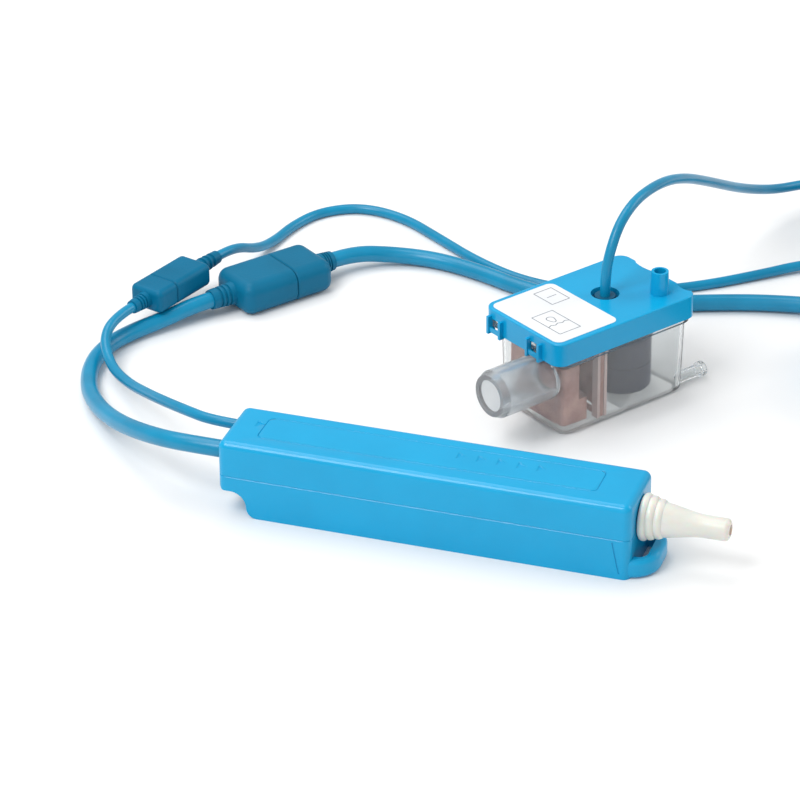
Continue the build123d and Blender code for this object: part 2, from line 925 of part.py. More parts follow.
with BuildPart() as coil_bobbin:
    bobbin_inner = guide_outer + fit_gap
    revolve(
        turned(
            [
                (bobbin_start, bobbin_inner),
                (bobbin_start, bobbin_flange),
                (bobbin_start + bobbin_flange_thickness, bobbin_flange),
                (bobbin_start + bobbin_flange_thickness, bobbin_core),
                (bobbin_end - bobbin_flange_thickness, bobbin_core),
                (bobbin_end - bobbin_flange_thickness, bobbin_flange),
                (bobbin_end, bobbin_flange),
                (bobbin_end, bobbin_inner),
            ]
        ),
        axis=pump_axis,
    )
finish(coil_bobbin, "coil_bobbin")

with BuildPart() as coil_winding:
    revolve(
        ring_section(
            bobbin_start + bobbin_flange_thickness,
            bobbin_end - bobbin_flange_thickness,
            bobbin_core,
            winding_radius,
        ),
        axis=pump_axis,
    )
finish(coil_winding, "coil_winding")

with BuildPart() as yoke:
    yoke_middle = (bobbin_start + bobbin_end) / 2
    yoke_inside = bobbin_end - bobbin_start
    with BuildSketch(Plane.XY.offset(pump_axis_z - yoke_half_height)):
        with Locations((yoke_middle, 0)):
            Rectangle(yoke_inside + 2 * yoke_plate, 2 * yoke_half_width)
            Rectangle(yoke_inside, 2 * (yoke_half_width - yoke_side), mode=Mode.SUBTRACT)
    extrude(amount=2 * yoke_half_height)
    with BuildSketch(Plane.YZ.offset(bobbin_start - 2 * yoke_plate)):
        with Locations((0, pump_axis_z)):
            Circle(guide_outer + fit_gap)
    extrude(amount=yoke_inside + 4 * yoke_plate, mode=Mode.SUBTRACT)
finish(yoke, "yoke")

for mount_x, seat_radius, name in (
    (rear_mount_x, inlet_radius, "rear_mount"),
    (front_mount_x, cylinder_radius, "front_mount"),
):
    with BuildPart() as rubber_mount:
        revolve(
            ring_section(
                mount_x - mount_width / 2,
                mount_x + mount_width / 2,
                seat_radius + running_clearance,
                mount_outer,
            ),
            axis=pump_axis,
        )
    finish(rubber_mount, name)

# ---- circuit board and what it carries
with BuildPart() as circuit_board:
    with BuildSketch(Plane.XY.offset(board_bottom)):
        with Locations((middle, 0)):
            Rectangle(board_end - board_start, 2 * board_half_width)
            with Locations((-span / 2, board_half_width - post_inset), (span / 2, post_inset - board_half_width)):
                Circle(screw_radius + fit_gap, mode=Mode.SUBTRACT)
    extrude(amount=board_thickness)
finish(circuit_board, "circuit_board")

with BuildPart() as board_screws:
    screw_places = [
        (middle - span / 2, board_half_width - post_inset),
        (middle + span / 2, post_inset - board_half_width),
    ]
    with BuildSketch(Plane.XY.offset(board_top)):
        with Locations(*screw_places):
            Circle(screw_head_radius)
    extrude(amount=screw_head)
    with BuildSketch(Plane.XY.offset(board_top)):
        with Locations(*screw_places):
            Circle(screw_radius - running_clearance)
    extrude(amount=-board_thickness - post_height + 3 * fit_gap)
finish(board_screws, "board_screws")

with BuildPart() as capacitor:
    with BuildSketch(Plane.XY.offset(board_top)):
        with Locations((board_end - post_inset - capacitor_length / 2 + 2.5, 3.0)):
            RectangleRounded(capacitor_length, capacitor_width - 4.0, 0.8)
    extrude(amount=capacitor_height)
finish(capacitor, "capacitor")

with BuildPart() as relay:
    with BuildSketch(Plane.XY.offset(board_top)):
        with Locations((middle - span / 4, 0)):
            Rectangle(relay_length, relay_width)
    extrude(amount=relay_height)
finish(relay, "relay")

# ---- water inlet and suction hose
with BuildPart() as inlet_spigot:
    inner_wall_x = foot_side + case_wall
    collar_end = inner_wall_x + spigot_collar_length
    inlet_axis = Axis((0, 0, inlet_spigot_z), (1, 0, 0))
    inlet_plane = Plane((0, 0, inlet_spigot_z), x_dir=(1, 0, 0), z_dir=(0, -1, 0))
    barb_tip = foot_side - barb_length
    revolve(
        turned(
            [
                (barb_tip, barb_bore),
                (barb_tip, barb_radius - 0.4),
                (barb_tip + 2.0, barb_ridge),
                (barb_tip + 2.4, barb_radius),
                (inner_wall_x, barb_radius),
                (inner_wall_x, barb_radius + spigot_collar),
                (collar_end, barb_radius + spigot_collar),
                (collar_end, spigot_inner_radius),
                (collar_end + spigot_inner, spigot_inner_radius),
                (collar_end + spigot_inner, nipple_bore),
                (foot_side, nipple_bore),
                (foot_side, barb_bore),
            ],
            inlet_plane,
        ),
        axis=inlet_axis,
    )
finish(inlet_spigot, "inlet_spigot")

with BuildPart() as suction_hose:
    hose_bore = nipple_radius + running_clearance
    hose_points = [
        (collar_end + fit_gap, 0, inlet_spigot_z),
        (hose_low_end, 0, inlet_spigot_z),
        (hose_high_start, 0, pump_axis_z),
        (inlet_start - fit_gap, 0, pump_axis_z),
    ]
    hose_runs = [Vector(*b) - Vector(*a) for a, b in zip(hose_points, hose_points[1:])]
    hose_turn = radians(hose_runs[0].get_angle(hose_runs[1]))
    hose_bend = 0.45 * min(run.length for run in hose_runs) / tan(hose_turn / 2)
    with BuildLine() as hose_path:
        FilletPolyline(*hose_points, radius=hose_bend)
    with BuildSketch(Plane(hose_path.line @ 0, z_dir=hose_path.line % 0)):
        Circle(hose_bore + hose_wall)
        Circle(hose_bore, mode=Mode.SUBTRACT)
    sweep()
finish(suction_hose, "suction_hose")

# ---- silicone discharge adaptor: two bulged ribs, then a slim round-ended spout
with BuildPart() as discharge_adaptor:
    face_x = right_end + adaptor_gap
    tip_x = face_x + adaptor_length
    with BuildSketch(pump_section):
        with BuildLine():
            half_rib = adaptor_rib_width / 2
            rib_ends = [face_x + adaptor_rib_width * k for k in (1, 2, 3)]
            back = Line(
                (face_x, spigot_radius + running_clearance), (face_x, adaptor_rib_near - adaptor_shoulder)
            )
            one = ThreePointArc(
                back @ 1, (face_x + half_rib, adaptor_rib_near), (rib_ends[0], adaptor_groove_near)
            )
            two = ThreePointArc(
                one @ 1, (rib_ends[0] + half_rib, adaptor_rib_middle), (rib_ends[1], adaptor_groove_far)
            )
            three = ThreePointArc(
                two @ 1, (rib_ends[1] + half_rib, adaptor_rib_far), (rib_ends[2], adaptor_neck_radius)
            )
            taper = Spline(
                three @ 1,
                (rib_ends[2] + adaptor_neck_run, adaptor_waist_radius),
                (tip_x - adaptor_tip_length, adaptor_tip_radius),
                tangents=[(1, -0.15), (1, 0)],
            )
            spout = Line(taper @ 1, (tip_x - adaptor_tip_round, adaptor_tip_radius))
            nose = RadiusArc(spout @ 1, (tip_x, adaptor_tip_radius - adaptor_tip_round), adaptor_tip_round)
            Polyline(
                nose @ 1,
                (tip_x, adaptor_bore),
                (face_x + spigot_reach, adaptor_bore),
                (face_x + spigot_reach, spigot_radius + running_clearance),
                back @ 0,
            )
        make_face()
    revolve(axis=pump_axis)
finish(discharge_adaptor, "discharge_adaptor")

gland(power_exit_y, power_exit_z, power_diameter, "power_gland")
gland(signal_exit_y, signal_exit_z, signal_diameter, "signal_gland")

# ---- reservoir tank: clear moulding with a rim, catches and an outlet barb
with BuildPart() as tank:
    add(tank_form(0, 0))
    fillet(tank.faces().sort_by(Axis.Z)[0].edges(), tank_floor_radius)
    with BuildSketch(tank_frame.offset(lid_skirt_bottom - rim_drop - rim_thickness)):
        RectangleRounded(tank_length + 2 * rim_reach, tank_width + 2 * rim_reach, tank_corner + rim_reach)
    extrude(amount=rim_thickness)
    with BuildSketch(facing(reservoir, tank_far - 1.5 * tank_wall, outlet_y, outlet_z)):
        Circle(outlet_radius)
    extrude(amount=outlet_length + 1.5 * tank_wall)
    with BuildSketch(facing(reservoir, tank_far + outlet_length - 2.6, outlet_y, outlet_z)):
        Circle(outlet_collar)
    extrude(amount=2.2)
    catch_reach = tank_inset_near - catch_recess
    with BuildSketch(upright(reservoir, tank_near, 0, window_low + fit_gap)):
        with Locations(*[((tank_wall - catch_reach) / 2, y) for y in window_centres]):
            Rectangle(catch_reach + tank_wall, catch_width)
    extrude(amount=(window_high - window_low) * catch_share)
    add(tank_form(tank_floor, tank_wall), mode=Mode.SUBTRACT)
    with BuildSketch(facing(reservoir, tank_near - tank_wall, spigot_y, spigot_z)):
        Circle(spigot_inner_bore)
    extrude(amount=4 * tank_wall, mode=Mode.SUBTRACT)
    with BuildSketch(facing(reservoir, tank_far - 2 * tank_wall, outlet_y, outlet_z)):
        Circle(outlet_bore)
    extrude(amount=outlet_length + 3 * tank_wall, mode=Mode.SUBTRACT)
finish(tank, "tank")

with BuildPart() as drain_spigot:
    with BuildSketch(facing(reservoir, tank_near + tank_wall, spigot_y, spigot_z, -1)):
        Circle(spigot_outer_radius)
    extrude(amount=spigot_length - spigot_lip_length + tank_wall)
    lip_plane = facing(reservoir, tank_near - spigot_length + spigot_lip_length, spigot_y, spigot_z, -1)
    with BuildSketch(lip_plane):
        Circle(spigot_outer_radius)
    with BuildSketch(lip_plane.offset(spigot_lip_length)):
        Circle(spigot_lip_radius)
    loft()
    add(tank_form(0, 0), mode=Mode.SUBTRACT)
    with BuildSketch(tank_frame.offset(lid_skirt_bottom - rim_drop - rim_thickness)):
        Rectangle(tank_length + 2 * rim_reach, tank_width + 2 * rim_reach)
    extrude(amount=rim_thickness, mode=Mode.SUBTRACT)
    with BuildSketch(facing(reservoir, tank_near - spigot_length, spigot_y, spigot_z)):
        Circle(spigot_inner_bore)
    extrude(amount=spigot_length + 2 * tank_wall, mode=Mode.SUBTRACT)
finish(drain_spigot, "drain_spigot")

# ---- baffle plate between two pairs of upright guides
guide_offset = baffle_thickness / 2 + baffle_gap + rib_thickness / 2
inner_floor_width = floor_width - 2 * tank_wall
with BuildPart() as baffle_guides:
    with BuildSketch(reservoir.offset(tank_floor)):
        with Locations((baffle_x, tank_middle)):
            with GridLocations(2 * guide_offset, inner_floor_width - rib_reach - fit_gap, 2, 2):
                Rectangle(rib_thickness, rib_reach)
    extrude(amount=rib_top - tank_floor)
finish(baffle_guides, "baffle_guides")

with BuildPart() as baffle:
    baffle_width = inner_floor_width - 2 * baffle_gap
    with BuildSketch(facing(reservoir, baffle_x - baffle_thickness / 2, tank_middle, 0)):
        with Locations((0, (tank_floor + baffle_gap + baffle_top) / 2)):
            Rectangle(baffle_width, baffle_top - tank_floor - baffle_gap)
        with Locations((-baffle_width / 4, tank_floor + 3.0), (baffle_width / 4, tank_floor + 3.0)):
            SlotOverall(baffle_slot, 2.4, mode=Mode.SUBTRACT)
    extrude(amount=baffle_thickness)
finish(baffle, "baffle")

with BuildPart() as inlet_filter:
    with BuildSketch(reservoir.offset(tank_floor + filter_lift)):
        with Locations(((filter_start + filter_end) / 2, 0)):
            RectangleRounded(filter_end - filter_start, 2 * filter_half_width, 2.0)
    extrude(amount=filter_height)
    with BuildSketch(reservoir.offset(filter_step)):
        with Locations((filter_end - filter_step_depth / 2, filter_step_width / 2 - filter_half_width)):
            Rectangle(filter_step_depth, filter_step_width)
    extrude(amount=filter_height, mode=Mode.SUBTRACT)
finish(inlet_filter, "inlet_filter")

with BuildPart() as float_stem:
    with BuildSketch(upright(reservoir, float_x, float_y, tank_floor)):
        Circle(stem_radius)
    extrude(amount=stem_top - tank_floor)
    chamfer(float_stem.faces().sort_by(Axis.Z)[-1].edges(), 0.6)
finish(float_stem, "float_stem")

with BuildPart() as water_float:
    float_plane = upright(reservoir, float_x, float_y, float_low)
    with BuildSketch(float_plane):
        Circle(float_radius)
    extrude(amount=float_height)
    fillet(water_float.faces().filter_by(Axis.Z).edges(), 1.2)
    with BuildSketch(float_plane.offset(float_height / 2 - float_seam / 2)):
        Circle(float_radius + 1)
        Circle(float_radius - float_seam_depth, mode=Mode.SUBTRACT)
    extrude(amount=float_seam, mode=Mode.SUBTRACT)
    with BuildSketch(float_plane):
        Circle(stem_bore)
    extrude(amount=float_height, mode=Mode.SUBTRACT)
    with BuildSketch(float_plane.offset(float_height - magnet_height)):
        Circle(magnet_outer + fit_gap)
    extrude(amount=magnet_height, mode=Mode.SUBTRACT)
finish(water_float, "water_float")

with BuildPart() as float_magnet:
    with BuildSketch(float_plane.offset(float_height - magnet_height)):
        Circle(magnet_outer)
        Circle(stem_bore, mode=Mode.SUBTRACT)
    extrude(amount=magnet_height)
finish(float_magnet, "float_magnet")

# ---- lid: skirted moulding with catch windows, vent post, lead hole and scalloped far edge
with BuildPart() as lid:
    lid_half = lid_length / 2
    with BuildSketch(reservoir.offset(lid_skirt_bottom)):
        RectangleRounded(lid_length, lid_width, lid_corner)
    extrude(amount=lid_top - lid_skirt_bottom)
    with BuildSketch(reservoir.offset(lid_top - scallop_depth)):
        for y, across in ((scallop_near_y, scallop_near_width), (scallop_far_y, scallop_far_width)):
            with Locations((lid_half, y)):
                Ellipse(scallop_depth, across / 2)
    extrude(amount=2 * scallop_depth, mode=Mode.SUBTRACT)
    fillet(lid.faces().sort_by(Axis.Z)[-1].edges().filter_by(GeomType.LINE), 0.6)
    with BuildSketch(upright(reservoir, -lid_half, 0, window_rib_low)):
        for y in window_centres:
            with Locations(
                (-window_rib_proud / 2, y - (window_width + window_rib) / 2),
                (-window_rib_proud / 2, y + (window_width + window_rib) / 2),
            ):
                Rectangle(window_rib_proud + 2 * bridge_wall, window_rib)
    extrude(amount=window_rib_high - window_rib_low)
    with BuildSketch(upright(reservoir, -lid_half, 0, lid_skirt_bottom)):
        for y in window_centres:
            with Locations((-window_rib_proud / 2, y)):
                Rectangle(window_rib_proud, window_width)
    extrude(amount=window_low - lid_skirt_bottom)
    with BuildSketch(reservoir.offset(lid_skirt_bottom - rim_drop)):
        RectangleRounded(lid_length - 2 * lid_wall, lid_width - 2 * lid_wall, lid_corner - lid_wall)
    extrude(amount=lid_bottom_face - lid_skirt_bottom + rim_drop, mode=Mode.SUBTRACT)
    with BuildSketch(upright(reservoir, -lid_half, 0, window_rib_low)):
        for y in window_centres:
            with Locations((lid_wall / 2 - bridge_wall / 2, y)):
                Rectangle(lid_wall + bridge_wall, window_width - 0.4)
    extrude(amount=window_high - window_rib_low, mode=Mode.SUBTRACT)
    with BuildSketch(upright(reservoir, -lid_half, 0, window_low)):
        for y in window_centres:
            with Locations((0, y)):
                Rectangle(2 * lid_wall + 2 * window_rib_proud, window_width)
    extrude(amount=window_high - window_low, mode=Mode.SUBTRACT)
    vent_base = upright(reservoir, vent_x, vent_y, lid_top - lid_plate / 2)
    with BuildSketch(vent_base):
        Circle(vent_radius)
    with BuildSketch(vent_base.offset(vent_height + lid_plate / 2)):
        Circle(vent_top_radius)
    loft()
    with BuildSketch(upright(reservoir, vent_x, vent_y, lid_bottom_face)):
        Circle(vent_bore)
    extrude(amount=lid_plate + vent_height, mode=Mode.SUBTRACT)
    with BuildSketch(upright(reservoir, lead_hole_x, lead_hole_y, lid_bottom_face)):
        Circle(lead_hole_radius)
    extrude(amount=lid_plate, mode=Mode.SUBTRACT)
finish(lid, "lid")

with BuildPart() as lid_label:
    with BuildSketch(upright(reservoir, label_x, 0, lid_top)):
        RectangleRounded(label_length, label_width, label_corner)
    extrude(amount=label_thickness)
finish(lid_label, "lid_label")

with BuildPart() as lid_seal:
    with BuildSketch(tank_frame.offset(tank_top)):
        RectangleRounded(tank_length, tank_width, tank_corner)
        RectangleRounded(
            tank_length - 2 * tank_wall, tank_width - 2 * tank_wall, tank_corner - tank_wall, mode=Mode.SUBTRACT
        )
    extrude(amount=lid_seal_thickness)
finish(lid_seal, "lid_seal")

with BuildPart() as sensor_housing:
    with BuildSketch(upright(reservoir, lead_hole_x, lead_hole_y, housing_low)):
        RectangleRounded(housing_length, housing_width, 2.0)
    extrude(amount=lid_bottom_face - housing_low)
finish(sensor_housing, "sensor_housing")

with BuildPart() as lead_gland:
    with BuildSketch(upright(reservoir, lead_hole_x, lead_hole_y, lid_bottom_face)):
        Circle(lead_gland_radius)
        Circle((signal_diameter + bore_gap) / 2, mode=Mode.SUBTRACT)
    extrude(amount=lead_gland_height)
finish(lead_gland, "lead_gland")

# ---- connectors
power_angle = radians(power_connector_angle)
power_frame = Plane(
    (power_connector_x, power_connector_y, power_connector_z),
    x_dir=(cos(power_angle), sin(power_angle), 0),
    z_dir=(0, 0, 1),
)
power_mate = power_boot + power_plug_length + mating_gap / 2
power_far = power_mate + mating_gap / 2 + power_socket_length + power_far_boot
power_pins = {"places": [(-pin_pitch, 0), (0, 0), (pin_pitch, 0)], "radius": pin_radius}
power_size = (power_half_width, power_half_height, power_body_corner, power_end_round)
power_ends = ((-1, power_plug_length, power_boot, "power_plug"), (1, power_socket_length, power_far_boot, "power_socket"))
for way, length, boot, name in power_ends:
    connector_half(power_frame, power_mate, way, length, boot, power_size, power_diameter, power_pins, name)
connector_pins(power_frame, power_mate, power_pins, "power_pins")

signal_angle = radians(signal_connector_angle)
signal_frame = Plane(
    (signal_connector_x, signal_connector_y, signal_connector_z),
    x_dir=(cos(signal_angle), sin(signal_angle), 0),
    z_dir=(0, 0, 1),
)
signal_mate = signal_boot + signal_plug_length + mating_gap / 2
signal_far = signal_mate + mating_gap / 2 + signal_socket_length + signal_far_boot
signal_pins = {"places": [(-signal_pin_pitch, 0), (0, 0), (signal_pin_pitch, 0)], "radius": signal_pin_radius}
signal_size = (signal_half_width, signal_half_height, signal_body_corner, signal_end_round)
signal_ends = (
    (-1, signal_plug_length, signal_boot, "signal_plug"),
    (1, signal_socket_length, signal_far_boot, "signal_socket"),
)
for way, length, boot, name in signal_ends:
    connector_half(signal_frame, signal_mate, way, length, boot, signal_size, signal_diameter, signal_pins, name)
connector_pins(signal_frame, signal_mate, signal_pins, "signal_pins")

# ---- leads, their put-away coils and ties
inside_x = left_end + lead_inside
gland_power = [(x, power_exit_y, power_exit_z) for x in (inside_x, left_end - exit_run)]
gland_signal = [(x, signal_exit_y, signal_exit_z) for x in (inside_x, left_end - exit_run)]
power_plug_end = [power_frame.from_local_coords((-lead_last_run, 0, 0)), power_frame.origin]
signal_plug_end = [signal_frame.from_local_coords((-lead_first_run, 0, 0)), signal_frame.origin]
power_socket_end = [power_frame.from_local_coords((power_far + run, 0, 0)) for run in (0, lead_first_run)]
signal_socket_end = [signal_frame.from_local_coords((signal_far + run, 0, 0)) for run in (0, lead_first_run)]
gland_top = lid_bottom_face + lead_gland_height
drop_top = gland_top + lid_drop_rise
lid_drop = [reservoir.from_local_coords((lead_hole_x, lead_hole_y, z)) for z in (drop_top, housing_top)]
lead([*gland_power, *power_route, *power_plug_end], power_diameter, "power_lead")
lead([*gland_signal, *signal_route, *signal_plug_end], signal_diameter, "signal_lead")
lead([*power_socket_end, *supply_route], power_diameter, "supply_lead")
lead([*signal_socket_end, *reservoir_route_near], signal_diameter, "reservoir_lead_near")
lead([*reservoir_route_far, *lid_drop], signal_diameter, "reservoir_lead_far")
coil(supply_coil_x, supply_coil_y, supply_coil_middle, power_diameter, supply_layers, "supply_coil")
coil(reservoir_coil_x, reservoir_coil_y, reservoir_coil_middle, signal_diameter, reservoir_layers, "reservoir_coil")
coil_tie(supply_coil_x, supply_coil_y, supply_coil_middle, power_diameter, supply_layers, "supply_tie", -30.0)
coil_tie(
    reservoir_coil_x, reservoir_coil_y, reservoir_coil_middle, signal_diameter, reservoir_layers, "reservoir_tie", 0.0
)

with BuildPart() as supply_lead_end:
    with BuildLine() as end_path:
        ThreePointArc(*supply_end_arc)
    with BuildSketch(Plane(end_path.line @ 0, z_dir=end_path.line % 0)):
        Circle(power_diameter / 2)
    sweep()
finish(supply_lead_end, "supply_lead_end")

with BuildPart() as supply_cores:
    tangent = end_path.line % 1
    cores_way = Vector(tangent.X, tangent.Y, 0)
    cores_start = end_path.line @ 1 + cores_way * fit_gap
    with BuildSketch(Plane(cores_start, x_dir=(cores_way.Y, -cores_way.X, 0), z_dir=cores_way)):
        with GridLocations(core_spread, 1, 3, 1):
            Circle(core_diameter / 2)
    extrude(amount=core_length)
finish(supply_cores, "supply_cores")
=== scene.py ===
import math

import bpy
from mathutils import Matrix, Vector


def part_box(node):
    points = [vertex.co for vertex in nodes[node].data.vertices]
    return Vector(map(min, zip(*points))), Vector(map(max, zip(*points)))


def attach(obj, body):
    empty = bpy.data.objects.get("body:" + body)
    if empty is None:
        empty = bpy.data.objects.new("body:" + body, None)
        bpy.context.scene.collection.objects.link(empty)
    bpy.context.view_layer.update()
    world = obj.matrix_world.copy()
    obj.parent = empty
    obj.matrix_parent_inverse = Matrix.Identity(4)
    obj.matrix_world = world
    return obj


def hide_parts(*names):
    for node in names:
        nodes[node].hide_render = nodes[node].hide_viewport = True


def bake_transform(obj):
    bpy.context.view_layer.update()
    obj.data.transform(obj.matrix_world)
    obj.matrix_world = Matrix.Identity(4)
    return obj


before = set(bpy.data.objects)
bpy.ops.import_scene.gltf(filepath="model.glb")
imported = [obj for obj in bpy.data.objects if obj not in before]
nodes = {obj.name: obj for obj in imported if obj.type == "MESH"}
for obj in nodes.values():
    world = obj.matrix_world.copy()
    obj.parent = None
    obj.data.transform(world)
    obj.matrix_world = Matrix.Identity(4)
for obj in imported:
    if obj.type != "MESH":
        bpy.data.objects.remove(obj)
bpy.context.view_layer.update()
scene = bpy.context.scene
imageSize = 800
mm = 0.001

case = {"length": 155.0, "axisZ": 18.4}
reservoir = {"x": 26.36, "y": 111.4, "yaw": 56.5}


# colours and materials
def linear(hexColour):  # an sRGB hex colour as linear RGBA
    out = []
    for k in (1, 3, 5):
        c = int(hexColour[k:k + 2], 16) / 255
        out.append(c / 12.92 if c <= 0.04045 else ((c + 0.055) / 1.055) ** 2.4)
    return (*out, 1.0)


def addNode(tree, kind, inputs=None, **settings):
    node = tree.nodes.new(kind)
    for key, value in settings.items():
        setattr(node, key, value)
    for key, value in (inputs or {}).items():
        if isinstance(value, bpy.types.NodeSocket):
            tree.links.new(value, node.inputs[key])
        else:
            node.inputs[key].default_value = value
    return node


# grain is (noise scale per metre, bump distance in metres), and tint is a second colour
# mixed in by a slow noise, as (colour, noise scale per metre, amount)
def makeMaterial(name, colour, rough=0.4, sockets=None, grain=None, tint=None):
    material = bpy.data.materials.new(name)
    material.use_nodes = True
    tree = material.node_tree
    tree.nodes.clear()
    shader = addNode(tree, "ShaderNodeBsdfPrincipled", {"Base Color": linear(colour), "Roughness": rough})
    for key, value in (sockets or {}).items():
        shader.inputs[key].default_value = value
    output = addNode(tree, "ShaderNodeOutputMaterial")
    tree.links.new(shader.outputs["BSDF"], output.inputs["Surface"])
    where = addNode(tree, "ShaderNodeTexCoord").outputs["Object"]
    if tint:
        second, scale, amount = tint
        noise = addNode(tree, "ShaderNodeTexNoise", {"Vector": where, "Scale": scale, "Detail": 3.0})
        spread = addNode(tree, "ShaderNodeMapRange", {"Value": noise.outputs["Fac"], "From Min": 0.35,
                                                      "From Max": 0.65, "To Max": amount})
        mix = addNode(tree, "ShaderNodeMix", {"Factor": spread.outputs["Result"]}, data_type="RGBA")
        mix.inputs["A"].default_value = linear(colour)
        mix.inputs["B"].default_value = linear(second)
        tree.links.new(mix.outputs["Result"], shader.inputs["Base Color"])
    if grain:
        scale, distance = grain
        noise = addNode(tree, "ShaderNodeTexNoise", {"Vector": where, "Scale": scale, "Detail": 2.0})
        bump = addNode(tree, "ShaderNodeBump", {"Height": noise.outputs["Fac"], "Distance": distance,
                                                "Strength": 1.0})
        tree.links.new(bump.outputs["Normal"], shader.inputs["Normal"])
    return material


materials = {
    # moulded ABS: an even gloss with a soft, broad highlight
    "case": makeMaterial("glossySkyBlueAbs", "#06A0D2", 0.36, {"Specular IOR Level": 0.12, "Coat Weight": 0.5,
                         "Coat Roughness": 0.14}, grain=(900.0, 0.00002), tint=("#0697C8", 45.0, 0.5)),
    # soft silicone: milky, with light coming through thin parts
    "silicone": makeMaterial("paleSilicone", "#DCDDD6", 0.36,
                             {"Subsurface Weight": 0.5, "Subsurface Scale": 0.004, "Coat Weight": 0.2},
                             grain=(700.0, 0.00004), tint=("#D0D2C9", 120.0, 0.5)),
    # moulded polycarbonate: see-through with a faint haze
    "clear": makeMaterial("frostedPolycarbonate", "#F6F8F8", 0.13, {"Transmission Weight": 0.94, "IOR": 1.33},
                          grain=(160.0, 0.00005), tint=("#EEF1F2", 70.0, 0.5)),
    # the same in a thicker wall: greyer and a little cloudy
    "spigot": makeMaterial("thickFrostedPolycarbonate", "#E6E9EB", 0.2,
                           {"Transmission Weight": 0.86, "IOR": 1.4},
                           grain=(160.0, 0.00006), tint=("#DDE1E3", 70.0, 0.6)),
    # coated film: nearly white and satin
    "label": makeMaterial("labelFilm", "#E6E8EB", 0.35, grain=(500.0, 0.00001), tint=("#DADEE2", 60.0, 0.4)),
    # printed ink: flat grey
    "ink": makeMaterial("greyLabelInk", "#7C838B", 0.5, grain=(900.0, 0.00001)),
    # closed-cell foam: dark and dull
    "float": makeMaterial("darkFloatFoam", "#262B42", 0.5, grain=(1400.0, 0.00008),
                          tint=("#343B56", 90.0, 0.6)),
    # sintered ferrite: dark grey and slightly shiny
    "magnet": makeMaterial("ferriteMagnet", "#2A2A2C", 0.45, grain=(1500.0, 0.00004)),
    # open foam: mottled red-brown and rough
    "filter": makeMaterial("filterFoam", "#D0A094", 0.85, grain=(1100.0, 0.0004),
                           tint=("#A8746A", 130.0, 0.9)),
    # moulded plastic: pale pink and satin
    "guide": makeMaterial("palePinkMoulding", "#E0C4BE", 0.45, grain=(900.0, 0.00003)),
    # moulded nylon: darker teal than the case
    "housing": makeMaterial("darkTealNylon", "#0B5878", 0.45, {"Specular IOR Level": 0.3},
                            grain=(1200.0, 0.00003),
                            tint=("#094B67", 90.0, 0.5)),
    # moulded PVC: dark teal and satin
    "plugTeal": makeMaterial("tealPvcMoulding", "#086C90", 0.42, {"Specular IOR Level": 0.16},
                             grain=(1000.0, 0.00004),
                             tint=("#096485", 60.0, 0.6)),
    # moulded PVC of the thin lead: slightly less glossy
    "plugDark": makeMaterial("darkTealPvcMoulding", "#036C92", 0.42, {"Specular IOR Level": 0.14},
                             grain=(1000.0, 0.00004), tint=("#036182", 60.0, 0.6)),
    # extruded PVC sheath: smooth, with a clear highlight
    "lead": makeMaterial("bluePvcSheath", "#058AB4", 0.28, {"Specular IOR Level": 0.4},
                         grain=(1500.0, 0.00003),
                         tint=("#047BA2", 70.0, 0.6)),
    # PVC core insulation: brown and smooth
    "cores": makeMaterial("brownCoreInsulation", "#6A4A30", 0.45, grain=(1200.0, 0.00002),
                          tint=("#5C3F28", 90.0, 0.5)),
    # moulded nylon: black and satin
    "tie": makeMaterial("blackNylonTie", "#18191A", 0.4, grain=(900.0, 0.00002)),
    # moulded rubber: black and dull
    "rubber": makeMaterial("blackRubber", "#1B1B1C", 0.7, grain=(1500.0, 0.00004)),
    # unpigmented nylon: cream and satin
    "nylon": makeMaterial("naturalNylon", "#DDD9C8", 0.45, grain=(900.0, 0.00003)),
    # enamelled wire: warm, glossy metal
    "copper": makeMaterial("enamelledCopper", "#B3602E", 0.3, {"Metallic": 0.9}, grain=(900.0, 0.0001)),
    # plated steel: bright metal with a soft edge
    "steel": makeMaterial("platedSteel", "#B9BCC0", 0.28, {"Metallic": 1.0}, grain=(700.0, 0.00002)),
    # drawn spring wire: bright, sharper highlights
    "spring": makeMaterial("springSteel", "#A9ABAE", 0.25, {"Metallic": 1.0}, grain=(900.0, 0.00002)),
    # moulded rubber: brown and dull
    "valve": makeMaterial("brownValveRubber", "#5A3A30", 0.65, grain=(1500.0, 0.00003)),
    # turned or moulded acetal: white and smooth
    "acetal": makeMaterial("whiteAcetal", "#E4E4DF", 0.35, grain=(900.0, 0.00002)),
    # resin-bonded fibreglass: green with darker flecks
    "board": makeMaterial("greenFibreglassBoard", "#1E5B34", 0.4, grain=(600.0, 0.00003),
                          tint=("#174B2A", 300.0, 0.7)),
    # moulded epoxy: near-black and satin
    "component": makeMaterial("blackMouldedComponent", "#232427", 0.4, grain=(1200.0, 0.00003)),
}
